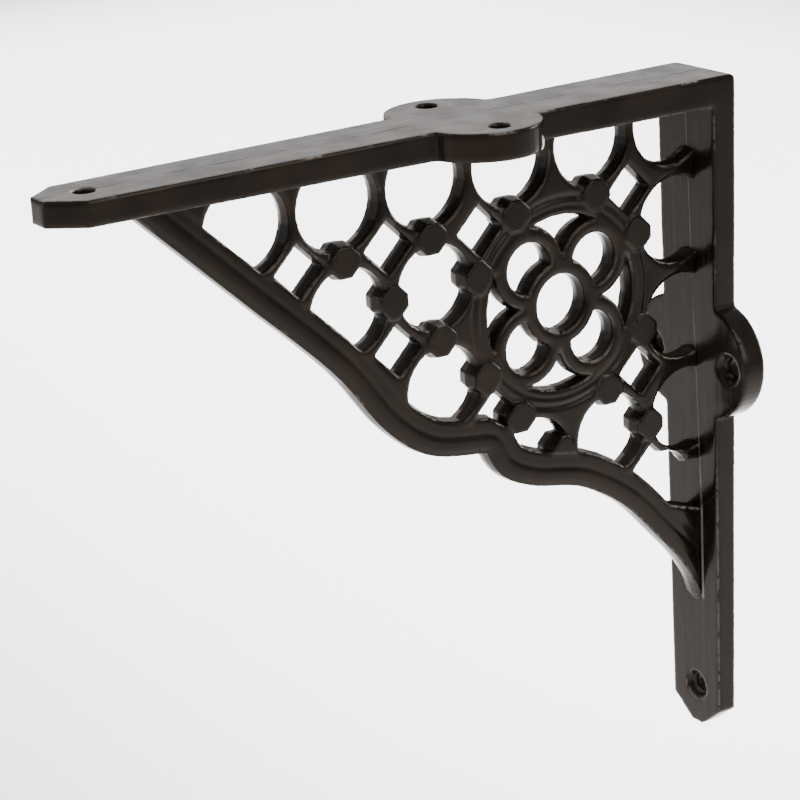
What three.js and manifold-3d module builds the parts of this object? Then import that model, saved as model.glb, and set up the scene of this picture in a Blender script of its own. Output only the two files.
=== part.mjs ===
// An ornate cast iron shelf bracket, made as one casting. A shelf plate and a wall plate with
// screw lugs meet at a corner, and a pierced web joins them: a wheel of four petals, a lattice
// of round openings with square bosses between them, and a lobed border.
// Millimetres. +Z is up, the wall is at y = 0 and the arm reaches out towards -Y.
// The origin is on the wall face, level with the screws of the wall plate's two lugs.
import * as THREE from "three";
import { mergeVertices } from "three/addons/utils/BufferGeometryUtils.js";
import Module from "manifold-3d";

const wasm = await Module();
wasm.setup();

const LUG_LEVEL = 84; // from the top of the bracket down to the wall plate's lug screws
const LUG_REACH = 84; // from the wall out to the shelf plate's lug screws
const CORNER_RADIUS = 1.8; // the back edge at the top is rounded
const PAST = 1; // how far a cutter runs past the face it cuts

const shelfPlate = {
  length: 208.7,
  rootWidth: 25,
  tipWidth: 21.2,
  rootThickness: 8.8,
  tipThickness: 6.9,
  chamfer: 8.7,
  endWidth: 7,
  lugAt: LUG_REACH,
  tipHoleFromEnd: 12.9,
};

const wallPlate = {
  length: 201.7,
  rootWidth: 25,
  tipWidth: 21.3,
  rootThickness: 8.2,
  tipThickness: 6.5,
  chamfer: 6.6,
  endWidth: 5,
  lugAt: LUG_LEVEL,
  tipHoleFromEnd: 12.5,
};

const LUG_RADIUS = 17.1;
const LUG_OFFSET = 7.4; // of a lug's round from the centre line of its plate
const LUG_HOLE_OFFSET = 16.7;
const HOLE_DIAMETER = 5.4;
const SINK_DIAMETER = 9.2;
const SINK_DEPTH = 2.2;

const WEB_THICKNESS = 7;
const DRAFT = 0.8; // each opening is this much tighter all round on the web's middle plane

// The pattern leans a little in the bracket, as cast: its rows fall away from the corner and
// its columns lean towards the wall.
const lattice = {
  firstColumn: 29.2, // of the node nearest the corner, from the wall face
  firstRow: 27.2, // of the same node, from the top face
  columnPitch: 27.4,
  rowPitch: 28.7,
  columnLean: 1.6, // towards the wall, for each row down
  rowFall: 1.05, // for each column out
  columns: 6,
  rows: 4,
  roundRadius: 12.1,
  edgeRoundRadius: 12.7, // of the rounds that a plate cuts
  diamond: 7.6, // half of a diamond's diagonal
  bossLong: 9.4,
  bossShort: 8.6,
  bossCorner: 3, // cut off each corner of a boss
  bossDraft: 0.9, // the bosses swell this much towards the middle plane
  bossProud: 0.6, // the bosses stand this far out of the web
  bossDrop: 0.8, // the bosses sit this far under the middle of their bars
  lowerBossShift: 3.6, // the bosses over the lower lobe sit further out
};

const wheel = {
  out: 55.5, // the centre, from the wall face
  drop: 57.1, // the centre, from the top face
  ringRadius: 29.3,
  ringWidth: 4.1,
  turn: THREE.MathUtils.degToRad(3.4),
  petalReach: 15.7, // of a petal's centre from the wheel's centre
  petalRadius: 7.5,
  petalBar: 3.8,
  hubRadius: 8.4,
  hubBar: 3.6,
  cornerDiamondShift: 3, // the four diamonds round the wheel are set in towards it
};

// The opening at the foot of the wall plate runs on from its round into the last diamond.
const lastSpan = {
  at: [-0.15, 3.2], // in columns and rows
  radius: 9.5,
};

const border = {
  width: 8.2,
  lobeWidth: 9.8,
  footLevel: 136, // of the foot's straight upper edge, from the top face, measured behind the wall plate
  shelfEnd: 184,
  wallEnd: 160,
};

const LOBE_WIDENING = 1.6; // how soon the border reaches the width it has round the lobes
const UPPER_STEPS = 28;
const LOWER_STEPS = 30;
const FOOT_STEPS = 12; // of the lower steps, where the border spreads into a foot on the wall plate
const PETALS = 4;
const WHEEL_CELLS = 2; // the wheel takes the place of two by two cells of the lattice
const CIRCLE_STEPS = 32;
const SMALL_CIRCLE_STEPS = 24;

// Turns a closed geometry into a solid that can be joined and cut.
function solid(geometry) {
  const closed = geometry.index ? geometry.toNonIndexed() : geometry.clone();
  closed.deleteAttribute("normal");
  closed.deleteAttribute("uv");
  const merged = mergeVertices(closed, 1e-4);
  return new wasm.Manifold(
    new wasm.Mesh({
      numProp: 3,
      vertProperties: merged.attributes.position.array,
      triVerts: new Uint32Array(merged.index.array),
    }),
  );
}

// Turns a solid back into a flat-shaded geometry.
function geometryOf(made) {
  const mesh = made.getMesh();
  const geometry = new THREE.BufferGeometry();
  geometry.setAttribute("position", new THREE.BufferAttribute(mesh.vertProperties, 3));
  geometry.setIndex(new THREE.BufferAttribute(mesh.triVerts, 1));
  const flat = geometry.toNonIndexed();
  flat.computeVertexNormals();
  return flat;
}

// Plate frames: x across the plate, y along it from the corner, z into it from its outer face.
const shelfFrame = new THREE.Matrix4()
  .makeBasis(new THREE.Vector3(1, 0, 0), new THREE.Vector3(0, -1, 0), new THREE.Vector3(0, 0, -1))
  .setPosition(0, 0, LUG_LEVEL);
const wallFrame = new THREE.Matrix4()
  .makeBasis(new THREE.Vector3(-1, 0, 0), new THREE.Vector3(0, 0, -1), new THREE.Vector3(0, -1, 0))
  .setPosition(0, 0, LUG_LEVEL);

// Web frame: x out from the wall, y up from the top face (so the web has negative y), z across.
const webFrame = new THREE.Matrix4()
  .makeBasis(new THREE.Vector3(0, -1, 0), new THREE.Vector3(0, 0, 1), new THREE.Vector3(-1, 0, 0))
  .setPosition(0, 0, LUG_LEVEL);

function shoulderOf(plate) {
  return plate.length - plate.chamfer;
}

function thicknessAt(plate, along) {
  return THREE.MathUtils.lerp(plate.rootThickness, plate.tipThickness, along / plate.length);
}

// Extrudes an outline to the thickness of a plate, which thins towards its tip.
function plateSolid(plate, outline) {
  const geometry = new THREE.ExtrudeGeometry(outline, {
    depth: 1,
    bevelEnabled: false,
    curveSegments: SMALL_CIRCLE_STEPS,
  });
  const position = geometry.attributes.position;
  for (let i = 0; i < position.count; i += 1) {
    position.setZ(i, position.getZ(i) * thicknessAt(plate, position.getY(i)));
  }
  return solid(geometry);
}

function plateOutline(plate) {
  const outline = new THREE.Shape();
  outline.moveTo(-plate.rootWidth / 2, 0);
  outline.lineTo(plate.rootWidth / 2, 0);
  outline.lineTo(plate.tipWidth / 2, shoulderOf(plate));
  outline.lineTo(plate.endWidth / 2, plate.length);
  outline.lineTo(-plate.endWidth / 2, plate.length);
  outline.lineTo(-plate.tipWidth / 2, shoulderOf(plate));
  outline.closePath();
  return outline;
}

function roundOutline(x, y, radius) {
  return new THREE.Shape().absarc(x, y, radius, 0, Math.PI * 2);
}

// A screw hole through a plate, countersunk on the inner face, where the screw head goes.
function screwHole(plate, x, along) {
  const thickness = thicknessAt(plate, along);
  const profile = [
    new THREE.Vector2(0, -PAST),
    new THREE.Vector2(HOLE_DIAMETER / 2, -PAST),
    new THREE.Vector2(HOLE_DIAMETER / 2, thickness - SINK_DEPTH),
    new THREE.Vector2(SINK_DIAMETER / 2, thickness),
    new THREE.Vector2(SINK_DIAMETER / 2, thickness + PAST),
    new THREE.Vector2(0, thickness + PAST),
  ];
  const geometry = new THREE.LatheGeometry(profile, SMALL_CIRCLE_STEPS);
  geometry.rotateX(Math.PI / 2).translate(x, along, 0);
  return solid(geometry);
}

function makePlate(plate) {
  let made = plateSolid(plate, plateOutline(plate));
  for (const side of [-1, 1]) {
    made = made.add(plateSolid(plate, roundOutline(side * LUG_OFFSET, plate.lugAt, LUG_RADIUS)));
  }
  for (const side of [-1, 1]) {
    made = made.subtract(screwHole(plate, side * LUG_HOLE_OFFSET, plate.lugAt));
  }
  return made.subtract(screwHole(plate, 0, plate.length - plate.tipHoleFromEnd));
}

// Moves a closed outline outwards by a distance, or inwards where the distance is negative.
function offsetOutline(points, distance) {
  return points.map((point, i) => {
    const before = points[(i + points.length - 1) % points.length];
    const after = points[(i + 1) % points.length];
    const arriving = point.clone().sub(before).normalize();
    const leaving = after.clone().sub(point).normalize();
    const normal = new THREE.Vector2(arriving.y + leaving.y, -arriving.x - leaving.x);
    const scale = distance / (1 + arriving.dot(leaving));
    return point.clone().addScaledVector(normal, scale);
  });
}

// A closed solid through outlines of the same number of points, one at each depth.
function loft(levels) {
  const count = levels[0].points.length;
  const position = [];
  for (const level of levels) {
    for (const point of level.points) {
      position.push(point.x, point.y, level.depth);
    }
  }
  const index = [];
  const last = (levels.length - 1) * count;
  for (let base = 0; base < last; base += count) {
    for (let i = 0; i < count; i += 1) {
      const next = (i + 1) % count;
      index.push(base + i, base + next, base + count + next);
      index.push(base + i, base + count + next, base + count + i);
    }
  }
  for (const [a, b, c] of THREE.ShapeUtils.triangulateShape(levels[0].points, [])) {
    index.push(c, b, a);
  }
  for (const [a, b, c] of THREE.ShapeUtils.triangulateShape(levels[levels.length - 1].points, [])) {
    index.push(last + a, last + b, last + c);
  }
  const geometry = new THREE.BufferGeometry();
  geometry.setAttribute("position", new THREE.Float32BufferAttribute(position, 3));
  geometry.setIndex(index);
  return solid(geometry);
}

// A solid across the web whose outline on each face is given, and which swells by a draft
// towards the middle plane, or draws in where the draft is negative.
function drafted(points, draft, past = 0, thickness = WEB_THICKNESS) {
  const half = thickness / 2;
  const outer = offsetOutline(points, (-draft * past) / half);
  return loft([
    { points: outer, depth: -half - past },
    { points: offsetOutline(points, draft), depth: 0 },
    { points: outer, depth: half + past },
  ]);
}

function circlePoints(centre, radius) {
  return Array.from({ length: CIRCLE_STEPS }, (_, i) => {
    const angle = ((i + 0.5) / CIRCLE_STEPS) * Math.PI * 2;
    return new THREE.Vector2(Math.cos(angle), Math.sin(angle)).multiplyScalar(radius).add(centre);
  });
}

function diamondPoints(centre, half) {
  return [[1, 0], [0, 1], [-1, 0], [0, -1]].map(([sideX, sideY]) => {
    return new THREE.Vector2(centre.x + sideX * half, centre.y + sideY * half);
  });
}

// A rectangle with its corners cut off.
function bossPoints(centre, across, up) {
  const cut = lattice.bossCorner;
  return [[-1, -1], [1, -1], [1, 1], [-1, 1]].flatMap(([sideX, sideY]) => {
    const cornerX = centre.x + (sideX * across) / 2;
    const cornerY = centre.y + (sideY * up) / 2;
    const alongX = new THREE.Vector2(cornerX - sideX * cut, cornerY);
    const alongY = new THREE.Vector2(cornerX, cornerY - sideY * cut);
    return sideX === sideY ? [alongY, alongX] : [alongX, alongY];
  });
}

function joined(solids) {
  return solids.reduce((all, one) => all.add(one));
}

// A point of the border's outer edge, as shares of how far the border reaches out and down.
function edgePoint(out, down) {
  return new THREE.Vector2(out * border.shelfEnd, -down * border.wallEnd);
}

// The outer edge of the border, from under the shelf plate round the two lobes to the wall plate.
function outerEdge() {
  const cusp = edgePoint(0.448, 0.593);
  const upper = new THREE.SplineCurve([
    edgePoint(1, 0.056),
    edgePoint(0.853, 0.219),
    edgePoint(0.707, 0.381),
    edgePoint(0.625, 0.503),
    edgePoint(0.549, 0.569),
    cusp,
  ]);
  const lower = new THREE.SplineCurve([
    cusp,
    edgePoint(0.421, 0.643),
    edgePoint(0.364, 0.678),
    edgePoint(0.272, 0.706),
    edgePoint(0.19, 0.766),
    edgePoint(0.124, 0.846),
    edgePoint(0.08, 0.904),
    edgePoint(0.051, 0.955),
    edgePoint(0.038, 1),
  ]);
  return { upper: upper.getPoints(UPPER_STEPS), lower: lower.getPoints(LOWER_STEPS) };
}

// The edge moved in by the border's width, which grows towards the lobes.
function innerEdge(points, fromShelf) {
  return points.map((point, i) => {
    const before = points[Math.max(i - 1, 0)];
    const after = points[Math.min(i + 1, points.length - 1)];
    const run = after.clone().sub(before).normalize();
    const share = fromShelf ? i / (points.length - 1) : 1 - i / (points.length - 1);
    const width = THREE.MathUtils.lerp(border.width, border.lobeWidth, Math.min(1, share * LOBE_WIDENING));
    return point.clone().add(new THREE.Vector2(-run.y, run.x).multiplyScalar(-width));
  });
}

// A point of the lattice, counted in columns out from the corner's node and in rows down.
function latticePoint(column, row) {
  return new THREE.Vector2(
    lattice.firstColumn + column * lattice.columnPitch - row * lattice.columnLean,
    -lattice.firstRow - row * lattice.rowPitch - column * lattice.rowFall,
  );
}

function isInWheel(place) {
  return place > 0 && place < WHEEL_CELLS;
}

// A boss halfway along a bar, with its length along the bar.
function makeBoss(column, row, across, up) {
  const centre = latticePoint(column, row);
  centre.y -= lattice.bossDrop;
  if (column >= 1 && row >= WHEEL_CELLS) {
    centre.x += lattice.lowerBossShift;
  }
  const thickness = WEB_THICKNESS + 2 * lattice.bossProud;
  return drafted(bossPoints(centre, across, up), lattice.bossDraft, 0, thickness);
}

// What is open inside the wheel's ring: four petals, the hub and the spaces between them.
function makeWheelOpenings(centre) {
  const petals = [];
  const petalRings = [];
  for (let i = 0; i < PETALS; i += 1) {
    const angle = ((i + 0.5) / PETALS) * Math.PI * 2 + wheel.turn;
    const reach = new THREE.Vector2(Math.cos(angle), Math.sin(angle)).multiplyScalar(wheel.petalReach);
    const middle = centre.clone().add(reach);
    petals.push(drafted(circlePoints(middle, wheel.petalRadius), -DRAFT, PAST));
    petalRings.push(drafted(circlePoints(middle, wheel.petalRadius + wheel.petalBar), DRAFT, PAST));
  }
  const hubRing = drafted(circlePoints(centre, wheel.hubRadius + wheel.hubBar), DRAFT, PAST);
  const hub = drafted(circlePoints(centre, wheel.hubRadius), -DRAFT, PAST);
  const ringInside = circlePoints(centre, wheel.ringRadius - wheel.ringWidth);
  const between = drafted(ringInside, -DRAFT, PAST).subtract(joined(petalRings));
  return joined([between, ...petals]).subtract(hubRing).add(hub);
}

function makeWeb() {
  const { upper, lower } = outerEdge();
  const intoShelf = -shelfPlate.tipThickness / 2;
  const intoWall = wallPlate.tipThickness / 2;
  const corner = new THREE.Vector2(intoWall, intoShelf);
  const outline = [
    corner,
    new THREE.Vector2(intoWall, -border.wallEnd),
    ...[...upper, ...lower.slice(1)].reverse(),
    new THREE.Vector2(border.shelfEnd, intoShelf),
  ];
  const plate = drafted(outline, DRAFT / 2);

  const wheelCentre = new THREE.Vector2(wheel.out, -wheel.drop);
  const cutters = [drafted(circlePoints(latticePoint(...lastSpan.at), lastSpan.radius), -DRAFT, PAST)];
  const bosses = [];
  for (let c = -1; c < lattice.columns; c += 1) {
    for (let r = -1; r < lattice.rows; r += 1) {
      const atPlate = c < 0 || r < 0;
      if (c + r + 1 <= lattice.rows && !(isInWheel(c + 0.5) && isInWheel(r + 0.5))) {
        const radius = atPlate ? lattice.edgeRoundRadius : lattice.roundRadius;
        cutters.push(drafted(circlePoints(latticePoint(c + 0.5, r + 0.5), radius), -DRAFT, PAST));
      }
      if (atPlate || c + r > lattice.rows) {
        continue;
      }
      const isCorner = c % WHEEL_CELLS === 0 && r % WHEEL_CELLS === 0;
      const isRoundWheel = c <= WHEEL_CELLS && r <= WHEEL_CELLS;
      if (isCorner || !isRoundWheel) {
        const node = latticePoint(c, r);
        const inwards = wheelCentre.clone().sub(node).normalize();
        node.addScaledVector(inwards, isRoundWheel ? wheel.cornerDiamondShift : 0);
        cutters.push(drafted(diamondPoints(node, lattice.diamond), -DRAFT, PAST));
      }
      if (c + r < lattice.rows && r < lattice.rows - 1) {
        if (!(isInWheel(c + 0.5) && isInWheel(r))) {
          bosses.push(makeBoss(c + 0.5, r, lattice.bossLong, lattice.bossShort));
        }
        if (!(isInWheel(c) && isInWheel(r + 0.5))) {
          bosses.push(makeBoss(c, r + 0.5, lattice.bossShort, lattice.bossLong));
        }
      }
    }
  }

  const inner = [...innerEdge(upper, true), ...innerEdge(lower, false).slice(0, -FOOT_STEPS)];
  const inside = drafted(
    [
      new THREE.Vector2(-border.width, border.width),
      new THREE.Vector2(-border.width, -border.footLevel),
      ...inner.reverse(),
      new THREE.Vector2(border.shelfEnd, border.width),
    ],
    -DRAFT,
    PAST,
  );
  const ring = drafted(circlePoints(wheelCentre, wheel.ringRadius), DRAFT);
  const openings = joined(cutters).subtract(joined(bosses)).intersect(inside).subtract(ring);
  const wheelOpenings = makeWheelOpenings(wheelCentre);

  const clearOfWheel = joined(bosses).intersect(inside).subtract(ring);
  return plate.subtract(openings).subtract(wheelOpenings).add(clearOfWheel);
}

// The round on the bracket's back edge at the top, as a cutter in the web's frame.
function makeCornerRound() {
  const r = CORNER_RADIUS;
  const shape = new THREE.Shape();
  shape.moveTo(-PAST, PAST);
  shape.lineTo(-PAST, -r);
  shape.lineTo(0, -r);
  shape.absarc(r, -r, r, Math.PI, Math.PI / 2, true);
  shape.lineTo(r, PAST);
  shape.closePath();
  const depth = shelfPlate.rootWidth + 2 * PAST;
  const geometry = new THREE.ExtrudeGeometry(shape, { depth, bevelEnabled: false, curveSegments: 6 });
  geometry.translate(0, 0, -depth / 2);
  return solid(geometry);
}

const bracket = makePlate(shelfPlate)
  .transform(shelfFrame.elements)
  .add(makePlate(wallPlate).transform(wallFrame.elements))
  .add(makeWeb().transform(webFrame.elements))
  .subtract(makeCornerRound().transform(webFrame.elements));

const castIron = new THREE.MeshStandardMaterial({ color: 0x24201e, roughness: 0.42, metalness: 0.65 });
const shelfBracket = new THREE.Mesh(geometryOf(bracket), castIron);
shelfBracket.name = "shelf_bracket";

const model = new THREE.Group();
model.add(shelfBracket);

export default model;
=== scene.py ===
"""The looks of an ornate cast iron shelf bracket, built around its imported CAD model.

Two pieces stand for the one casting: its plates and its pierced web. Each is meshed afresh from
the CAD solid, its arrises are softened, and the finer relief of border, wheel and plates is
worked into it. Places in the bracket's own plane are out from the wall and down from the top.
"""

import math

import bmesh
import bpy
import numpy as np
from mathutils import Matrix, Vector, noise
from mathutils.kdtree import KDTree


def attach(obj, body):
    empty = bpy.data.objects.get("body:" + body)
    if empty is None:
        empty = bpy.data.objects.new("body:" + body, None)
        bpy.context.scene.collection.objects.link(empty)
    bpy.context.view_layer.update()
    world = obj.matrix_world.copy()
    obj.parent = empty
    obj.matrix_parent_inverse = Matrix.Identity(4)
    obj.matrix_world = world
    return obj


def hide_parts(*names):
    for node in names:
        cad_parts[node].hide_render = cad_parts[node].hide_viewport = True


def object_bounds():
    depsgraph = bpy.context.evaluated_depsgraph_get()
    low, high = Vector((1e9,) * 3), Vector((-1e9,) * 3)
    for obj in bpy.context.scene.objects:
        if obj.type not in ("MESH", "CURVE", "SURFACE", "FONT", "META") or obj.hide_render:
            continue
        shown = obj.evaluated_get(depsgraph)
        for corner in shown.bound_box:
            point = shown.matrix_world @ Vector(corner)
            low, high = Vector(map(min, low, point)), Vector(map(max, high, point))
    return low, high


bl_info = {
    "name": "Ornate shelf bracket",
    "version": (1, 0, 0),
    "blender": (4, 5, 0),
    "location": "View3D > Sidebar > Bracket",
    "description": "Dresses the CAD model of a cast iron shelf bracket",
    "category": "Object",
}

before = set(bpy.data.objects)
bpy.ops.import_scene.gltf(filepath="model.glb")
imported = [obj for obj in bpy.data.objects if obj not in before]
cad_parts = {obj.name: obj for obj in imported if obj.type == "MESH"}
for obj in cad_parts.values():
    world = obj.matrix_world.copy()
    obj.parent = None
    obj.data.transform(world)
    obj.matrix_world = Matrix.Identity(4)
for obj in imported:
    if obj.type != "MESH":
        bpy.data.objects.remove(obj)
CAD_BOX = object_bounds()

CAD_NODE = "shelf_bracket"
BODY = "root"
IRON = "black_brown_iron"
MM = 0.001
TOP = CAD_BOX[1].z

# The web's own sizes, as in the solid.
WEB_HALF = 3.5 * MM
BOSS_FACE = WEB_HALF + 0.6 * MM
WHEEL_OUT = 55.5 * MM
WHEEL_DOWN = 57.1 * MM
RING_OUTER = 29.3 * MM
RING_INNER = 25.2 * MM
BORDER_REACH = 184 * MM
BORDER_DROP = 160 * MM
SPAN_STEPS = 12

# The plates' inner faces, as a point and the direction into the web. The plates thin to their tips.
SHELF_FACE = (Vector((0, 0, TOP - 8.8 * MM)), Vector((0, -1.9 / 208.7, -1)).normalized())
WALL_FACE = (Vector((0, -8.2 * MM, TOP)), Vector((0, -1, -1.7 / 201.7)).normalized())

# The block where the plates meet, and how much their sides draw in for each metre along them.
CORNER_HALF = 12.5 * MM
CORNER_BLOCK = 8.9 * MM
SIDE_TAPER = 0.0095

# Meshing: the cut between web and plates lies a skin's depth off the plates' inner faces.
WELD = 0.001 * MM
SKIN = 0.005 * MM
CUT_SNAP = 0.02 * SKIN
END_SLACK = 0.1 * MM
END_DEPTH = 0.4 * MM
OCTREE_DEPTH = 9
SOFTENINGS = 2

# Arrises and corners: what counts as sharp, how finely they are sampled, how far they are felt.
SHARP_ANGLE = math.radians(35)
SAMPLE_STEP = 0.5 * MM
LOW_STEP = 0.35 * MM
ARRIS_REACH = 1.9 * MM
CORNER_REACH = 2.6 * MM

# The border's relief, measured in from its outer edge, and the widths of the ring's grooves.
ROLL_WIDTH = 2.6 * MM
BORDER_GROOVE_AT = 5.5 * MM
BORDER_GROOVE_WIDTH = 0.55 * MM
BAND_START_FADE = 0.3 * MM
BAND_END = 9.1 * MM
BAND_END_FADE = 0.5 * MM
BAND_SHARE = 0.45
RING_GROOVE_WIDTH = 0.5 * MM
SHOULDER_OFF_RING = 0.5 * MM
SHOULDER_WIDTH = 0.6 * MM
SHOULDER_SHARE = 1.6
PLATE_BEVEL_SHARE = 0.45

# The mould's waves: each one's share of the depth, its length and its seed.
WAVES = ((0.5, 9 * MM, 3), (0.32, 3.4 * MM, 11), (0.18, 1.7 * MM, 23))
STREAK_WIDTH = 2.6 * MM
STREAK_STRETCH = (1, 0.06, 0.06)
STREAK_SEED = 31

# Painted highlight: wear is full on arrises that face this way, where they glint, and it covers the wall
# plate's lower arrises as a painted highlight band.
GLINT_WAY = (0.3, 0.67, 0.67)
LOW_HIGHLIGHT_FROM = -10 * MM
LOW_HIGHLIGHT_TO = -55 * MM

# The bright seam on the wall plate's room face, partly a mould seam and partly a painted highlight where
# the web meets the plate: its heights, and how far it drifts to the near side.
SEAM_HIGH = 75 * MM
SEAM_LOW = -46 * MM
SEAM_END = -75.5 * MM
SEAM_DRIFT = 4.1 * MM
SEAM_FAINT_ABOVE = -25 * MM
SEAM_FULL_BELOW = -42 * MM
ROOM_FACE_NEAR = -9.5 * MM
ROOM_FACE_FULL = -9 * MM
TOP_SEAM_WIDTH = 0.45 * MM
TOP_SEAM_WANDER = 5 * MM

# Colours of the marks in the finish, among them the painted shade of the corners and the painted
# highlight of the seam.
# Painted shade: the colour that the mesh is darkened towards near the inside corners, where shade falls.
CORNER_PAINTED_SHADE = (0.005, 0.004, 0.0034, 1)
DRAWN_LINE = (0.045, 0.043, 0.041, 1)
# Partly a mould seam, partly a painted highlight where the web meets the wall plate.
SEAM_AND_HIGHLIGHT_METAL = (0.34, 0.335, 0.32, 1)

# The camera, solved from the photograph's view of the two plates: angles in degrees, sizes in metres.
CAMERA_AZIMUTH = 57.19
CAMERA_ELEVATION = 18.99
CAMERA_ROLL = -2.99
CAMERA_DISTANCE = 0.68528
CAMERA_TARGET = Vector((-0.00746, -0.10338, 0.0069))
SENSOR_WIDTH = 36
FLOOR_HALF = 6.0


class BracketCasting(bpy.types.PropertyGroup):
    """The sizes of the casting's finer relief."""

    cell: bpy.props.FloatProperty(
        name="Mesh cell",
        description="Size of the faces that the casting is meshed with",
        default=0.6 * MM,
        min=0.5 * MM,
        max=3 * MM,
        precision=5,
        unit="LENGTH",
    )
    softening: bpy.props.FloatProperty(
        name="Arris softening",
        description="How far the sharp arrises are rounded, as a share of a mesh cell",
        default=0.3,
        min=0,
        max=1,
        subtype="FACTOR",
    )
    bevel_width: bpy.props.FloatProperty(
        name="Bevel width",
        description="Width of the bevels along the web's arrises",
        default=1 * MM,
        min=0.1 * MM,
        max=1.8 * MM,
        precision=5,
        unit="LENGTH",
    )
    bevel_depth: bpy.props.FloatProperty(
        name="Bevel depth",
        description="Depth of the bevels along the web's arrises",
        default=0.45 * MM,
        min=0,
        max=1 * MM,
        precision=5,
        unit="LENGTH",
    )
    groove_depth: bpy.props.FloatProperty(
        name="Groove depth",
        description="Depth of the grooves in the border and in the wheel's ring",
        default=0.42 * MM,
        min=0,
        max=1 * MM,
        precision=5,
        unit="LENGTH",
    )
    roll_drop: bpy.props.FloatProperty(
        name="Roll drop",
        description="How far the border's face falls to its outer edge",
        default=0.75 * MM,
        min=0,
        max=2 * MM,
        precision=5,
        unit="LENGTH",
    )
    streaks: bpy.props.FloatProperty(
        name="Streaks",
        description="Depth of the long shallow waves that run along the plates",
        default=0.1 * MM,
        min=0,
        max=1 * MM,
        precision=5,
        unit="LENGTH",
    )
    unevenness: bpy.props.FloatProperty(
        name="Unevenness",
        description="Depth of the waves that the mould leaves in the faces",
        default=0.08 * MM,
        min=0,
        max=1 * MM,
        precision=5,
        unit="LENGTH",
    )


class BracketFinish(bpy.types.PropertyGroup):
    """The colours, wear and painted glints of the black-brown iron."""

    dark: bpy.props.FloatVectorProperty(
        name="Iron",
        description="Colour of the black-brown finish",
        default=(0.0068, 0.0056, 0.0047),
        min=0,
        max=1,
        size=3,
        subtype="COLOR",
    )
    warm: bpy.props.FloatVectorProperty(
        name="Warm patches",
        description="Colour of the finish where it turns brown",
        default=(0.016, 0.0112, 0.0082),
        min=0,
        max=1,
        size=3,
        subtype="COLOR",
    )
    # The colour of both the rubbed wear and the painted glints on the arrises.
    wear_and_glint: bpy.props.FloatVectorProperty(
        name="Worn arrises",
        description="Colour of the rubbed metal on the arrises",
        default=(0.62, 0.57, 0.5),
        min=0,
        max=1,
        size=3,
        subtype="COLOR",
    )
    # Also sets how strongly the painted glints show on the arrises that face up and to the wall.
    wear: bpy.props.FloatProperty(
        name="Wear",
        description="How much of the arrises that face up and to the wall is rubbed bright",
        default=0.9,
        min=0,
        max=1,
        subtype="FACTOR",
    )
    roughness: bpy.props.FloatProperty(
        name="Roughness",
        description="Middle roughness of the satin finish",
        default=0.2,
        min=0,
        max=1,
        subtype="FACTOR",
    )


class BracketStage(bpy.types.PropertyGroup):
    """The floor, lights and camera."""

    floor_gap: bpy.props.FloatProperty(
        name="Floor gap",
        description="How far under the bracket the floor lies",
        default=0.45,
        min=0,
        unit="LENGTH",
    )
    floor_wash: bpy.props.FloatProperty(
        name="Floor wash",
        description="Power of the wide light over the floor beyond the bracket",
        default=130,
        min=0,
        unit="POWER",
    )
    overhead: bpy.props.FloatProperty(
        name="Overhead light",
        description="Power of the wide light over the bracket and the floor round it",
        default=120,
        min=0,
        unit="POWER",
    )
    near: bpy.props.FloatProperty(
        name="Near light",
        description="Power of the weak light from the camera's side",
        default=7,
        min=0,
        unit="POWER",
    )
    behind: bpy.props.FloatProperty(
        name="Back light",
        description="Power of the soft light behind the bracket, which its top face mirrors",
        default=6.8,
        min=0,
        unit="POWER",
    )
    tip: bpy.props.FloatProperty(
        name="Tip light",
        description="Power of the soft light from beyond the arm's tip",
        default=1.8,
        min=0,
        unit="POWER",
    )
    rim: bpy.props.FloatProperty(
        name="Rim light",
        description="Power of the small light behind the wall face, which glints on the arrises",
        default=4,
        min=0,
        unit="POWER",
    )
    surround: bpy.props.FloatProperty(
        name="Surround",
        description="Strength of the even light from all round",
        default=0.25,
        min=0,
        subtype="FACTOR",
    )
    lens: bpy.props.FloatProperty(
        name="Lens",
        description="Focal length of the camera, in millimetres",
        default=113.23,
        min=20,
        max=300,
        subtype="NONE",
    )


# Mesh


def spline_through(points):
    """A smooth run through the points, with the same tangents as the solid's edge has."""
    points = np.array(points, float)
    before = np.vstack([2 * points[0] - points[1], points[:-1]])
    after = np.vstack([points[1:], 2 * points[-1] - points[-2]])
    run = []
    for i in range(len(points) - 1):
        start, end = points[i], points[i + 1]
        leave = (after[i] - before[i]) / 2
        arrive = (after[i + 1] - before[i + 1]) / 2
        for t in np.arange(SPAN_STEPS) / SPAN_STEPS:
            of_start = 2 * t**3 - 3 * t**2 + 1
            of_leave = t**3 - 2 * t**2 + t
            of_arrive = t**3 - t**2
            run.append(of_start * start + of_leave * leave + (1 - of_start) * end + of_arrive * arrive)
    run.append(points[-1])
    return np.array(run)


def border_edge():
    """The border's outer edge as points of out and down, from the shelf plate to the wall plate."""
    reach = np.array([BORDER_REACH, BORDER_DROP])
    cusp = (0.448, 0.593)
    upper = [(1, 0.056), (0.853, 0.219), (0.707, 0.381), (0.625, 0.503), (0.549, 0.569), cusp]
    lower = [cusp, (0.421, 0.643), (0.364, 0.678), (0.272, 0.706), (0.19, 0.766), (0.124, 0.846)]
    lower += [(0.08, 0.904), (0.051, 0.955), (0.038, 1)]
    return np.vstack([spline_through(upper), spline_through(lower)[1:]]) * reach


def distance_to_run(places, run):
    """How far each place lies from a run of straight pieces."""
    nearest = np.full(len(places), np.inf)
    for start, end in zip(run[:-1], run[1:]):
        along = end - start
        share = np.clip((places - start) @ along / (along @ along), 0, 1)
        nearest = np.minimum(nearest, np.linalg.norm(places - start - share[:, None] * along, axis=1))
    return nearest


def ease(low, high, value):
    """0 below low, 1 above high and a smooth rise between them."""
    t = np.clip((value - low) / (high - low), 0, 1)
    return t * t * (3 - 2 * t)


def bell(value, middle, width):
    """1 at the middle, falling smoothly to 0 about a width away."""
    return np.exp(-(((value - middle) / width) ** 2))


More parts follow.
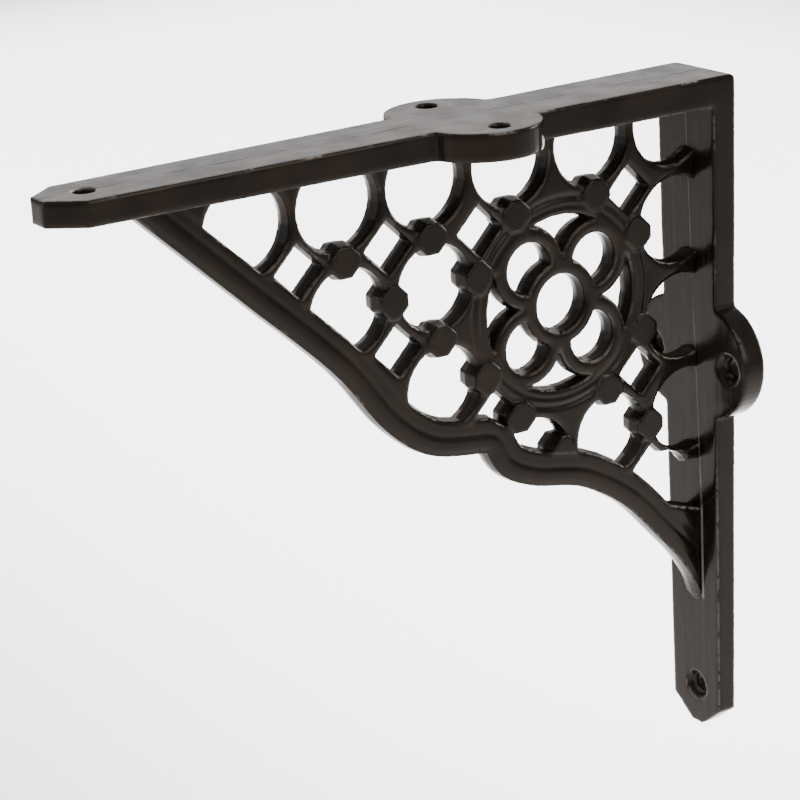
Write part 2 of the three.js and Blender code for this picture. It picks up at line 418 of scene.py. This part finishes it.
def points_of(mesh):
    """The mesh's points as rows of x, y and z."""
    flat = np.zeros(len(mesh.vertices) * 3, np.float32)
    mesh.vertices.foreach_get("co", flat)
    return flat.reshape(-1, 3).astype(float)


def normals_of(mesh):
    """The direction that the surface faces at each of the mesh's points."""
    flat = np.zeros(len(mesh.vertices) * 3, np.float32)
    mesh.vertex_normals.foreach_get("vector", flat)
    return flat.reshape(-1, 3).astype(float)


def set_points(mesh, points):
    """Moves the mesh's points to these rows of x, y and z."""
    mesh.vertices.foreach_set("co", points.astype(np.float32).ravel())
    mesh.update()


def welded(node):
    """The CAD node's faces with the points that they share joined, ready to be worked on."""
    body = bmesh.new()
    body.from_mesh(node.data)
    bmesh.ops.remove_doubles(body, verts=body.verts, dist=WELD)
    return body


def solid_edges(node):
    """Points along the solid's sharp edges: one list for the arrises, one for the inside corners.

    A low step, where an arris and a corner run side by side, counts as neither.
    """
    body = welded(node)
    arrises, corners = [], []
    for edge in body.edges:
        if len(edge.link_faces) != 2:
            continue
        angle = edge.calc_face_angle_signed(0)
        if abs(angle) < SHARP_ANGLE:
            continue
        start, end = (v.co.copy() for v in edge.verts)
        steps = max(1, math.ceil((end - start).length / SAMPLE_STEP))
        kept = arrises if angle > 0 else corners
        kept.extend(start.lerp(end, (i + 0.5) / steps) for i in range(steps))
    body.free()
    arris_at, corner_at = tree_of(arrises), tree_of(corners)
    arrises_kept = [place for place in arrises if corner_at.find(place)[2] > LOW_STEP]
    corners_kept = [place for place in corners if arris_at.find(place)[2] > LOW_STEP]
    return arrises_kept, corners_kept


def tree_of(places):
    """A search tree that finds the nearest of the places."""
    tree = KDTree(len(places))
    for i, place in enumerate(places):
        tree.insert(place, i)
    tree.balance()
    return tree


def nearness(points, places, reach):
    """1 at the places, falling to 0 at a reach from them."""
    tree = tree_of(places)
    away = np.array([tree.find(p)[2] for p in points])
    return np.clip(1 - away / reach, 0, 1)


def beyond(face, place):
    """How far a place lies beyond one of the plates' inner faces, towards the web."""
    point, inward = face
    return (place - point).dot(inward)


def part_of(node, is_web):
    """The web's part of the node's mesh or the plates' part, closed where they are cut apart."""
    body = welded(node)
    faces = (SHELF_FACE, WALL_FACE)
    for point, inward in faces:
        everything = body.verts[:] + body.edges[:] + body.faces[:]
        cut_at = point + SKIN * inward
        bmesh.ops.bisect_plane(body, geom=everything, dist=CUT_SNAP, plane_co=cut_at, plane_no=inward)
    unwanted = []
    for face in body.faces:
        middle = face.calc_center_median()
        in_web = all(beyond(plane, middle) > SKIN for plane in faces)
        if in_web != is_web:
            unwanted.append(face)
    bmesh.ops.delete(body, geom=unwanted, context="FACES")
    cut = [edge for edge in body.edges if edge.is_boundary]
    filled = bmesh.ops.holes_fill(body, edges=cut, sides=0)["faces"]
    bmesh.ops.triangulate(body, faces=filled)
    mesh = bpy.data.meshes.new("part")
    body.to_mesh(mesh)
    body.free()
    return mesh


def remeshed(mesh, name, cell):
    """The mesh in even faces that keep its arrises, as a new object."""
    piece = bpy.data.objects.new(name, mesh)
    bpy.context.scene.collection.objects.link(piece)
    bpy.context.view_layer.update()
    even = piece.modifiers.new("even", "REMESH")
    even.mode = "SHARP"
    even.octree_depth = OCTREE_DEPTH
    even.scale = min(0.99, max(piece.dimensions) / (2**OCTREE_DEPTH * cell))
    even.sharpness = 1
    even.use_remove_disconnected = False
    bpy.context.view_layer.update()
    seen = piece.evaluated_get(bpy.context.evaluated_depsgraph_get())
    made = bpy.data.meshes.new_from_object(seen)
    piece.modifiers.clear()
    piece.data = made
    bpy.data.meshes.remove(mesh)
    return piece


def tuck_ends(mesh):
    """Runs the web's cut ends on into the plates, so that no crack shows."""
    points = points_of(mesh)
    for point, inward in (SHELF_FACE, WALL_FACE):
        at_end = np.abs((points - point) @ np.array(inward)) < END_SLACK
        points[at_end] -= END_DEPTH * np.array(inward)
    set_points(mesh, points)


def soften(mesh, amount):
    """Rounds the arrises: each point moves towards the mean of its neighbours."""
    edges = np.zeros(len(mesh.edges) * 2, np.int32)
    mesh.edges.foreach_get("vertices", edges)
    a, b = edges.reshape(-1, 2).T
    points = points_of(mesh)
    total = np.zeros_like(points)
    count = np.zeros(len(points))
    for near, far in ((a, b), (b, a)):
        np.add.at(total, near, points[far])
        np.add.at(count, near, 1)
    mean = total / np.maximum(count, 1)[:, None]
    set_points(mesh, points + amount * (mean - points))


def wave(points, length, seed):
    """A smooth random value from -1 to 1 for each point, which changes over the given length."""
    shift = Vector((seed, seed * 1.7, seed * 0.3))
    return np.array([noise.noise(Vector(p) / length + shift) for p in points])


def bevel_share(sizes, arris):
    """How much of the bevels' depth each point gets: all of it on an arris, none at their width."""
    return np.clip(1 - ARRIS_REACH * (1 - arris) / sizes.bevel_width, 0, 1)


def carve_web(mesh, sizes, arris):
    """Works the border's roll and grooves, the ring's grooves and the bars' bevels into the web."""
    points = points_of(mesh)
    aside = np.abs(points[:, 0])
    turned = np.abs(normals_of(mesh)[:, 0])
    plane = np.column_stack([-points[:, 1], TOP - points[:, 2]])
    on_web = ease(WEB_HALF - 0.6 * MM, WEB_HALF - 0.2 * MM, aside)
    on_web *= 1 - ease(WEB_HALF + 0.2 * MM, WEB_HALF + 0.4 * MM, aside)

    to_edge = distance_to_run(plane, border_edge())
    roll = sizes.roll_drop * (1 - ease(0, ROLL_WIDTH, to_edge)) ** 2
    border_groove = sizes.groove_depth * bell(to_edge, BORDER_GROOVE_AT, BORDER_GROOVE_WIDTH)
    band_starts = ease(BORDER_GROOVE_AT - BAND_START_FADE, BORDER_GROOVE_AT + BAND_START_FADE, to_edge)
    band_ends = ease(BAND_END - BAND_END_FADE, BAND_END + BAND_END_FADE, to_edge)
    inner_band = BAND_SHARE * sizes.groove_depth * band_starts * (1 - band_ends)

    from_wheel = np.linalg.norm(plane - (WHEEL_OUT, WHEEL_DOWN), axis=1)
    middle_groove = bell(from_wheel, (RING_OUTER + RING_INNER) / 2, RING_GROOVE_WIDTH)
    shoulder = bell(from_wheel, RING_OUTER + SHOULDER_OFF_RING, SHOULDER_WIDTH)
    ring_groove = sizes.groove_depth * (middle_groove + SHOULDER_SHARE * shoulder)

    deepest = np.maximum.reduce([roll, border_groove, inner_band, ring_groove])
    down = on_web * ease(0.8, 0.97, turned) * deepest
    bevel = on_web * ease(0.35, 0.55, turned) * sizes.bevel_depth * bevel_share(sizes, arris)
    points[:, 0] -= np.sign(points[:, 0]) * np.maximum(down, bevel)
    set_points(mesh, points)


def blunt_plates(mesh, sizes, arris):
    """Blunts the plates' arrises: both faces fall to them by less than half of the web's bevels."""
    normals = normals_of(mesh)
    depth = PLATE_BEVEL_SHARE * sizes.bevel_depth * bevel_share(sizes, arris)
    depth /= np.abs(normals).max(axis=1)
    set_points(mesh, points_of(mesh) - normals * depth[:, None])


def make_uneven(mesh, sizes):
    """Sinks the faces by the mould's shallow waves and by the long ones that run along the plates."""
    points = points_of(mesh)
    normals = normals_of(mesh)
    waves = sum(share * wave(points, length, seed) for share, length, seed in WAVES)
    streaks = wave(points * STREAK_STRETCH, STREAK_WIDTH, STREAK_SEED)
    on_sides = ease(0.3, 0.7, np.abs(normals[:, 0]))
    on_top = ease(0.5, 0.9, normals[:, 2])
    streaks *= 1 - on_sides * (1 - 0.6 * on_top)
    down = sizes.unevenness * (0.5 + 0.5 * waves) + sizes.streaks * (0.5 + 0.5 * streaks)
    set_points(mesh, points - normals * down[:, None])


def level_corner(mesh):
    """Brings the two plates' sides level with each other where they meet at the corner."""
    points = points_of(mesh)
    out, down = -points[:, 1], TOP - points[:, 2]
    half = CORNER_HALF - SIDE_TAPER * np.maximum(out, down)
    at_corner = np.maximum(out, down) < CORNER_BLOCK
    points[at_corner, 0] = np.clip(points[:, 0], -half, half)[at_corner]
    set_points(mesh, points)


def keep_value(mesh, name, values):
    """Keeps a value for each point on the mesh, for the finish to read."""
    layer = mesh.attributes.new(name, "FLOAT", "POINT")
    layer.data.foreach_set("value", values.astype(np.float32))


# Materials


class Nodes:
    """Places and joins the nodes of one material or group."""

    def __init__(self, tree):
        self.tree = tree
        self.count = 0

    def add(self, kind, inputs=None, **settings):
        """A new node with its inputs given and its settings made."""
        node = self.tree.nodes.new(kind)
        node.location = (200 * (self.count % 8), -260 * (self.count // 8))
        self.count += 1
        for name, value in settings.items():
            setattr(node, name, value)
        for name, value in (inputs or {}).items():
            self.give(node.inputs[name], value)
        return node

    def give(self, socket, value):
        """Joins an output to the socket, or sets the socket to a number or colour."""
        if isinstance(value, bpy.types.NodeSocket):
            self.tree.links.new(value, socket)
        else:
            socket.default_value = value

    def math(self, operation, a, b=0.0, clamp=False):
        node = self.add("ShaderNodeMath", {0: a, 1: b}, operation=operation, use_clamp=clamp)
        return node.outputs[0]

    def times(self, a, b):
        return self.math("MULTIPLY", a, b)

    def parts(self, vector):
        """The X, Y and Z of a vector."""
        return self.add("ShaderNodeSeparateXYZ", {"Vector": vector}).outputs

    def ramp(self, value, low, high, to_low=0.0, to_high=1.0):
        """A smooth change from one value to another while the given one goes from low to high."""
        inputs = {"Value": value, "From Min": low, "From Max": high, "To Min": to_low, "To Max": to_high}
        return self.add("ShaderNodeMapRange", inputs, interpolation_type="SMOOTHSTEP").outputs["Result"]

    def blend(self, factor, first, second):
        node = self.add("ShaderNodeMix", data_type="RGBA")
        self.give(node.inputs["Factor"], factor)
        self.give(node.inputs[6], first)
        self.give(node.inputs[7], second)
        return node.outputs[2]

    def grain(self, place, scale, detail=3.0, roughness=0.5):
        inputs = {"Vector": place, "Scale": scale, "Detail": detail, "Roughness": roughness}
        return self.add("ShaderNodeTexNoise", inputs).outputs["Fac"]


def group_with(name, inputs, outputs):
    """A new shader node group with the named sockets, and its two ends."""
    tree = bpy.data.node_groups.new(name, "ShaderNodeTree")
    for way, sockets in (("INPUT", inputs), ("OUTPUT", outputs)):
        for socket, (kind, default) in sockets.items():
            made = tree.interface.new_socket(socket, in_out=way, socket_type=kind)
            if default is not None:
                made.default_value = default
    nodes = Nodes(tree)
    return nodes, nodes.add("NodeGroupInput").outputs, nodes.add("NodeGroupOutput").inputs


def make_wear_and_glint():
    """A mask of the rubbed arrises in patches, and of painted highlights wherever the cover input is 1,
    but not on the bosses.
    """
    nodes, given, out = group_with(
        "Edge wear",
        {
            "Place": ("NodeSocketVector", None),
            "Arris": ("NodeSocketFloat", 0.0),
            "Amount": ("NodeSocketFloat", 0.5),
            "Glint cover": ("NodeSocketFloat", 0.0),
        },
        {"Mask": ("NodeSocketFloat", None)},
    )
    patches = nodes.ramp(nodes.grain(given["Place"], 85.0, 2.0), 0.52, 0.64, 0.0, 0.5)
    patches = nodes.math("MAXIMUM", patches, given["Glint cover"])
    scratches = nodes.ramp(nodes.grain(given["Place"], 420.0, 3.0, 0.6), 0.36, 0.54)
    near = nodes.ramp(given["Arris"], 0.55, 0.8)
    aside = nodes.math("ABSOLUTE", nodes.parts(given["Place"])["X"])
    boss_face = nodes.times(
        nodes.ramp(aside, BOSS_FACE - 0.45 * MM, BOSS_FACE - 0.2 * MM),
        nodes.ramp(aside, BOSS_FACE + 0.5 * MM, BOSS_FACE + 0.2 * MM),
    )
    near = nodes.times(near, nodes.math("SUBTRACT", 1.0, nodes.times(boss_face, 0.85)))
    rubbed = nodes.times(nodes.times(patches, scratches), given["Amount"])
    nodes.give(out["Mask"], nodes.times(near, rubbed))
    return nodes.tree


def make_cast_grain():
    """The height of the fine skin of a sand casting under paint."""
    nodes, given, out = group_with(
        "Cast grain",
        {"Place": ("NodeSocketVector", None)},
        {"Height": ("NodeSocketFloat", None)},
    )
    skin = nodes.grain(given["Place"], 1400.0, 2.0)
    lumps = nodes.grain(given["Place"], 420.0, 2.0)
    height = nodes.math("ADD", nodes.times(skin, 0.14), nodes.times(lumps, 0.65))
    nodes.give(out["Height"], height)
    return nodes.tree


def line_along(nodes, place, middle, width, broken_from):
    """A mask of a broken line of the given width that runs where X is at the middle."""
    apart = nodes.parts(place)
    away = nodes.math("ABSOLUTE", nodes.math("SUBTRACT", apart["X"], middle))
    along = nodes.add("ShaderNodeCombineXYZ", {"Y": apart["Y"], "Z": apart["Z"]}).outputs["Vector"]
    broken = nodes.ramp(nodes.grain(along, 60.0, 3.0), broken_from, broken_from + 0.16)
    return nodes.times(nodes.ramp(away, width, nodes.times(width, 0.25)), broken)


def top_seam_on(nodes, place, facing):
    """A mask of the mould's seam, which wanders along the middle of the top face."""
    along = nodes.add("ShaderNodeCombineXYZ", {"Y": nodes.parts(place)["Y"]}).outputs["Vector"]
    aside = nodes.math("SUBTRACT", nodes.grain(along, 30.0, 2.0), 0.5)
    line = line_along(nodes, place, nodes.times(aside, TOP_SEAM_WANDER), TOP_SEAM_WIDTH, 0.42)
    return nodes.times(line, nodes.ramp(nodes.parts(facing)["Z"], 0.8, 0.95))


def room_seam_and_highlight_on(nodes, place, facing):
    """A mask of the bright seam on the wall plate's room face, partly a mould seam and partly a painted
    highlight where the web meets the plate, which drifts to the foot's near side.
    """
    apart = nodes.parts(place)
    drift = {"From Min": SEAM_HIGH, "From Max": SEAM_LOW, "To Min": 0.0, "To Max": SEAM_DRIFT}
    middle = nodes.add("ShaderNodeMapRange", {"Value": apart["Z"], **drift}).outputs["Result"]
    faces_room = nodes.ramp(nodes.parts(facing)["Y"], -0.8, -0.95)
    on_plate = nodes.ramp(apart["Y"], ROOM_FACE_NEAR, ROOM_FACE_FULL)
    above_end = nodes.ramp(apart["Z"], SEAM_END - 1 * MM, SEAM_END + 1 * MM)
    shown = nodes.times(nodes.times(faces_room, on_plate), above_end)
    width = nodes.ramp(apart["Z"], SEAM_LOW + 12 * MM, SEAM_LOW, 0.35 * MM, 0.7 * MM)
    seam = nodes.times(line_along(nodes, place, middle, width, 0.3), shown)
    return nodes.times(seam, nodes.ramp(apart["Z"], SEAM_FAINT_ABOVE, SEAM_FULL_BELOW, 0.4, 1.0))


def drawn_lines(nodes, place, facing):
    """A mask of fine straight lines that run along the plates on the faces across their sides."""
    apart = nodes.parts(place)
    slow = {axis: nodes.times(apart[axis], 0.035) for axis in ("Y", "Z")}
    stretched = nodes.add("ShaderNodeCombineXYZ", {"X": apart["X"], **slow}).outputs["Vector"]
    lines = nodes.ramp(nodes.grain(stretched, 900.0, 2.0), 0.52, 0.7)
    across = nodes.ramp(nodes.math("ABSOLUTE", nodes.parts(facing)["X"]), 0.5, 0.2)
    return nodes.times(lines, across)


def web_bars(nodes, place):
    """A mask of broken stretches of the web's bars."""
    aside = nodes.math("ABSOLUTE", nodes.parts(place)["X"])
    within = nodes.ramp(aside, WEB_HALF + 2.5 * MM, WEB_HALF + 1.5 * MM)
    return nodes.times(within, nodes.ramp(nodes.grain(place, 130.0, 1.0), 0.4, 0.5))


def wear_and_glint_on(nodes, place, facing, most):
    """A mask of the rubbed arrises, partly painted glints: most on those that face up and to the wall,
    and a painted highlight band on the low ones.
    """
    wear = nodes.add("ShaderNodeGroup", {}, node_tree=make_wear_and_glint())
    nodes.give(wear.inputs["Place"], place)
    arris = nodes.add("ShaderNodeAttribute", attribute_name="arris").outputs["Fac"]
    nodes.give(wear.inputs["Arris"], arris)
    towards = nodes.add("ShaderNodeVectorMath", {0: facing, 1: GLINT_WAY}, operation="DOT_PRODUCT")
    facing_glint_way = towards.outputs["Value"]
    # Painted glints: the wear is strongest on arrises that face the glint way.
    nodes.give(wear.inputs["Amount"], nodes.ramp(facing_glint_way, 0.35, 0.8, 0.3 * most, most))
    # Painted highlight: a bright band on the wall plate's lower arrises.
    low = nodes.ramp(nodes.parts(place)["Z"], LOW_HIGHLIGHT_FROM, LOW_HIGHLIGHT_TO, 0.0, 0.75)
    # Painted glints: short bright strokes on the web's bars that face the glint way.
    glint_strokes = nodes.times(nodes.ramp(facing_glint_way, 0.62, 0.8), web_bars(nodes, place))
    nodes.give(wear.inputs["Glint cover"], nodes.math("MAXIMUM", low, glint_strokes))
    return wear.outputs["Mask"]


def make_iron(finish):
    """Black-brown satin finish on cast iron: rubbed bright on the arrises, partly as painted glints,
    rougher in the corners and darkened there by painted shade, with a painted highlight along the room
    face's seam.
    """
    material = bpy.data.materials.new(IRON)
    material.use_nodes = True
    material.node_tree.nodes.clear()
    nodes = Nodes(material.node_tree)
    place = nodes.add("ShaderNodeTexCoord").outputs["Object"]
    facing = nodes.add("ShaderNodeNewGeometry").outputs["Normal"]
    corner = nodes.add("ShaderNodeAttribute", attribute_name="corner").outputs["Fac"]
    wear_and_glint = wear_and_glint_on(nodes, place, facing, finish.wear)
    top_seam = top_seam_on(nodes, place, facing)
    room_seam_and_highlight = room_seam_and_highlight_on(nodes, place, facing)
    lines = drawn_lines(nodes, place, facing)

    warmth = nodes.ramp(nodes.grain(place, 38.0, 4.0, 0.6), 0.42, 0.66)
    colour = nodes.blend(warmth, (*finish.dark, 1), (*finish.warm, 1))
    # Painted shade: the inside corners are darkened towards this colour.
    colour = nodes.blend(nodes.times(corner, 0.55), colour, CORNER_PAINTED_SHADE)
    # Rubbed wear on the arrises, with painted glints and a painted highlight band.
    colour = nodes.blend(nodes.times(wear_and_glint, 0.85), colour, (*finish.wear_and_glint, 1))
    colour = nodes.blend(nodes.times(lines, 0.3), colour, DRAWN_LINE)
    # Painted highlight, partly a real seam: the bright line on the wall plate's room face.
    colour = nodes.blend(nodes.times(room_seam_and_highlight, 0.85), colour, SEAM_AND_HIGHLIGHT_METAL)

    smoothest, roughest = finish.roughness - 0.05, finish.roughness + 0.07
    rough = nodes.ramp(nodes.grain(place, 110.0, 3.0), 0.3, 0.7, smoothest, roughest)
    rough = nodes.math("ADD", rough, nodes.times(corner, 0.15))
    rough = nodes.math("SUBTRACT", rough, nodes.times(wear_and_glint, 0.06), clamp=True)
    rough = nodes.math("ADD", rough, nodes.times(top_seam, 0.25), clamp=True)

    grain = nodes.add("ShaderNodeGroup", {}, node_tree=make_cast_grain())
    nodes.give(grain.inputs["Place"], place)
    height = nodes.math("SUBTRACT", grain.outputs["Height"], nodes.times(top_seam, 1.6))
    bump = nodes.add("ShaderNodeBump", {"Strength": 0.5, "Distance": 0.03 * MM, "Height": height})

    shader = nodes.add("ShaderNodeBsdfPrincipled")
    nodes.give(shader.inputs["Base Color"], colour)
    nodes.give(shader.inputs["Roughness"], rough)
    nodes.give(shader.inputs["Metallic"], nodes.times(wear_and_glint, 0.3))
    nodes.give(shader.inputs["Normal"], bump.outputs["Normal"])
    shader.inputs["Specular IOR Level"].default_value = 0.42
    shader.inputs["Specular Tint"].default_value = (1, 0.85, 0.73, 1)
    end = nodes.add("ShaderNodeOutputMaterial")
    nodes.give(end.inputs["Surface"], shader.outputs["BSDF"])
    return material


def make_plain(name, colour, roughness):
    """A matt material of one colour, for the floor."""
    material = bpy.data.materials.new(name)
    material.use_nodes = True
    shader = material.node_tree.nodes["Principled BSDF"]
    shader.inputs["Base Color"].default_value = (*colour, 1)
    shader.inputs["Roughness"].default_value = roughness
    return material


# Operators


def make_piece(context, name, is_web):
    """One of the casting's two pieces, with its relief, finish and place in the frame."""
    sizes = context.scene.bracket_casting
    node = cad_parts[CAD_NODE]
    piece = remeshed(part_of(node, is_web), name, sizes.cell)
    mesh = piece.data
    if not mesh.polygons:
        raise RuntimeError(f"the mesh of {name} came out empty")
    points = points_of(mesh)
    arrises, corners = solid_edges(node)
    arris = nearness(points, arrises, ARRIS_REACH)
    corner = nearness(points, corners, CORNER_REACH)
    if is_web:
        carve_web(mesh, sizes, arris)
        tuck_ends(mesh)
    else:
        level_corner(mesh)
        blunt_plates(mesh, sizes, arris)
    make_uneven(mesh, sizes)
    for _ in range(SOFTENINGS):
        soften(mesh, sizes.softening)
    keep_value(mesh, "arris", arris)
    keep_value(mesh, "corner", corner)
    mesh.polygons.foreach_set("use_smooth", [True] * len(mesh.polygons))
    mesh.materials.append(bpy.data.materials.get(IRON) or make_iron(context.scene.bracket_finish))
    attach(piece, BODY)
    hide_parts(CAD_NODE)
    return piece


class MakePlates(bpy.types.Operator):
    """Builds the shelf plate and the wall plate with their screw lugs"""

    bl_idname = "bracket.make_plates"
    bl_label = "Make plates"

    def execute(self, context):
        make_piece(context, "plates", False)
        return {"FINISHED"}


class MakeWeb(bpy.types.Operator):
    """Builds the pierced web: wheel, lattice, bosses and border"""

    bl_idname = "bracket.make_web"
    bl_label = "Make web"

    def execute(self, context):
        make_piece(context, "web", True)
        return {"FINISHED"}


def soft_light(name, place, aim, size, power, colour=(1, 1, 1)):
    """A rectangular soft light that looks from its place to its aim."""
    lamp = bpy.data.lights.new(name, "AREA")
    lamp.shape = "RECTANGLE"
    lamp.size, lamp.size_y = size
    lamp.energy = power
    lamp.color = colour
    held = bpy.data.objects.new(name, lamp)
    held.location = place
    held.rotation_euler = (Vector(aim) - Vector(place)).to_track_quat("-Z", "Y").to_euler()
    bpy.context.scene.collection.objects.link(held)
    return held


def lay_floor(gap):
    """Lays the pale floor at a gap under the bracket."""
    sheet = bpy.data.meshes.new("floor")
    edge = FLOOR_HALF
    corners = [(-edge, -edge, 0), (edge, -edge, 0), (edge, edge, 0), (-edge, edge, 0)]
    sheet.from_pydata(corners, [], [(0, 1, 2, 3)])
    sheet.materials.append(make_plain("pale_floor", (0.93, 0.93, 0.93), 0.9))
    floor = bpy.data.objects.new("floor", sheet)
    floor.location.z = CAD_BOX[0].z - gap
    bpy.context.scene.collection.objects.link(floor)


def hang_lights(stage):
    """Hangs the soft lights round the bracket, and sets the even light of the surround."""
    aim = (0, -0.09, -0.01)
    wash = soft_light("floor_wash", (-2.0, 1.4, 0.36), (-2.0, 1.4, -0.64), (3.6, 2.4), stage.floor_wash)
    wash.visible_glossy = False
    wash.data.spread = math.radians(80)
    soft_light("behind", (-1.5, 0.95, 0.75), aim, (2.4, 0.9), stage.behind, (1, 0.99, 0.98))
    over = soft_light("overhead", (-0.9, -0.1, 2.2), (-0.9, -0.1, 0), (3.4, 3.4), stage.overhead)
    over.visible_glossy = False
    soft_light("tip", (-0.7, -1.6, 0.2), aim, (1.2, 1.2), stage.tip, (0.9, 0.95, 1))
    soft_light("rim", (0.3, 1.5, 0.28), aim, (0.5, 0.5), stage.rim)
    soft_light("near", (1.5, 0.3, 0.7), aim, (1.2, 1.2), stage.near, (1, 0.97, 0.94))
    world = bpy.data.worlds.new("studio")
    world.use_nodes = True
    world.node_tree.nodes["Background"].inputs["Color"].default_value = (1, 1, 1, 1)
    world.node_tree.nodes["Background"].inputs["Strength"].default_value = stage.surround
    bpy.context.scene.world = world


def set_camera(focal_length):
    """Sets the camera at the photograph's viewing angle."""
    azimuth, elevation, roll = (
        math.radians(angle) for angle in (CAMERA_AZIMUTH, CAMERA_ELEVATION, CAMERA_ROLL)
    )
    over_floor = math.cos(elevation)
    ahead = Vector(
        (-math.sin(azimuth) * over_floor, math.cos(azimuth) * over_floor, -math.sin(elevation))
    )
    level = Vector((math.cos(azimuth), math.sin(azimuth), 0))
    upward = level.cross(ahead)
    right = math.cos(roll) * level + math.sin(roll) * upward
    up = math.cos(roll) * upward - math.sin(roll) * level
    lens = bpy.data.cameras.new("camera")
    lens.lens = focal_length
    lens.sensor_width = SENSOR_WIDTH
    lens.clip_start = 0.01
    lens.clip_end = 50
    camera = bpy.data.objects.new("camera", lens)
    turned = Matrix((right, up, -ahead)).transposed().to_4x4()
    camera.matrix_world = Matrix.Translation(CAMERA_TARGET - CAMERA_DISTANCE * ahead) @ turned
    bpy.context.scene.collection.objects.link(camera)
    bpy.context.scene.camera = camera


class MakeStage(bpy.types.Operator):
    """Sets the floor, the soft lights and the camera"""

    bl_idname = "bracket.make_stage"
    bl_label = "Make stage"

    def execute(self, context):
        stage = context.scene.bracket_stage
        lay_floor(stage.floor_gap)
        hang_lights(stage)
        set_camera(stage.lens)
        return {"FINISHED"}


class BracketPanel(bpy.types.Panel):
    """Lists the bracket's sizes, finish and stage"""

    bl_idname = "VIEW3D_PT_bracket"
    bl_label = "Shelf bracket"
    bl_space_type = "VIEW_3D"
    bl_region_type = "UI"
    bl_category = "Bracket"

    def draw(self, context):
        scene = context.scene
        for settings in (scene.bracket_casting, scene.bracket_finish, scene.bracket_stage):
            box = self.layout.box()
            for name in settings.__annotations__:
                box.prop(settings, name)
        for operator in OPERATORS:
            self.layout.operator(operator.bl_idname)


SETTINGS = {
    "bracket_casting": BracketCasting,
    "bracket_finish": BracketFinish,
    "bracket_stage": BracketStage,
}
OPERATORS = (MakePlates, MakeWeb, MakeStage)
CLASSES = (*SETTINGS.values(), *OPERATORS, BracketPanel)


def register():
    """Registers the settings, the operators and the panel."""
    for kind in CLASSES:
        bpy.utils.register_class(kind)
    for name, kind in SETTINGS.items():
        setattr(bpy.types.Scene, name, bpy.props.PointerProperty(type=kind))


def unregister():
    """Takes the settings, the operators and the panel away again."""
    for name in SETTINGS:
        delattr(bpy.types.Scene, name)
    for kind in reversed(CLASSES):
        bpy.utils.unregister_class(kind)


def main():
    """Builds the bracket's two pieces and the stage."""
    register()
    bpy.ops.bracket.make_plates()
    bpy.ops.bracket.make_web()
    bpy.ops.bracket.make_stage()


if __name__ == "__main__":
    main()
